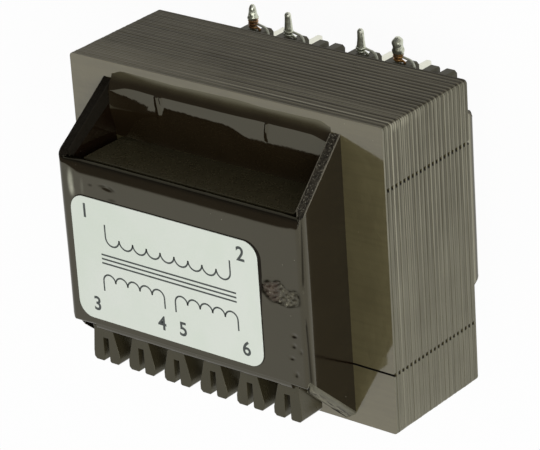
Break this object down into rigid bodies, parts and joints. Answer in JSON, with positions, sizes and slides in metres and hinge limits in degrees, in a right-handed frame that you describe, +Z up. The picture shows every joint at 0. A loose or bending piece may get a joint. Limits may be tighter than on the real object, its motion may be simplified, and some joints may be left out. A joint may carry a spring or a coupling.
{
  "type": "pcb transformer",
  "caption": "Small mains transformer for a circuit board: open core of stamped sheets, two-chamber bobbin with wire combs, dark folded covers, a label and solder pins.",
  "frame": {"origin": "middle of the seating plane on the circuit board, which is the flat face of the lower cover", "axes": "+X along the width of the core, +Y along its height towards the row of secondary pins, +Z up from the board towards the label"},
  "size_m": [0.042, 0.035, 0.0349],
  "materials": {
    "sheet_steel": "varnished stamped sheet",
    "cover_board": "glossy, varnished, dark brown",
    "bobbin_moulding": "moulded, varnished",
    "enamelled_copper": "enamelled copper wire",
    "insulating_tape": "film tape",
    "tinned_metal": "tinned",
    "solder_metal": "solder, uneven",
    "label_paper": "coated label"
  },
  "bodies": {
    "root": {"e_sheets_yoke_plus": "sheet_steel", "e_sheets_yoke_minus": "sheet_steel", "i_sheets_minus": "sheet_steel", "i_sheets_plus": "sheet_steel", "bobbin": "bobbin_moulding", "upper_cover": "cover_board", "lower_cover": "cover_board", "primary_winding": "enamelled_copper", "primary_wrap": "insulating_tape", "secondary_winding_1": "enamelled_copper", "secondary_layer_tape": "insulating_tape", "secondary_winding_2": "enamelled_copper", "secondary_wrap": "insulating_tape", "secondary_terminal_1": "tinned_metal", "secondary_terminal_2": "tinned_metal", "secondary_terminal_3": "tinned_metal", "secondary_terminal_4": "tinned_metal", "primary_terminal_1": "tinned_metal", "primary_terminal_2": "tinned_metal", "wire_turns": "enamelled_copper", "secondary_leads": "enamelled_copper", "primary_leads": "enamelled_copper", "solder_beads": "solder_metal", "label": "label_paper"}
  },
  "joints": []
}
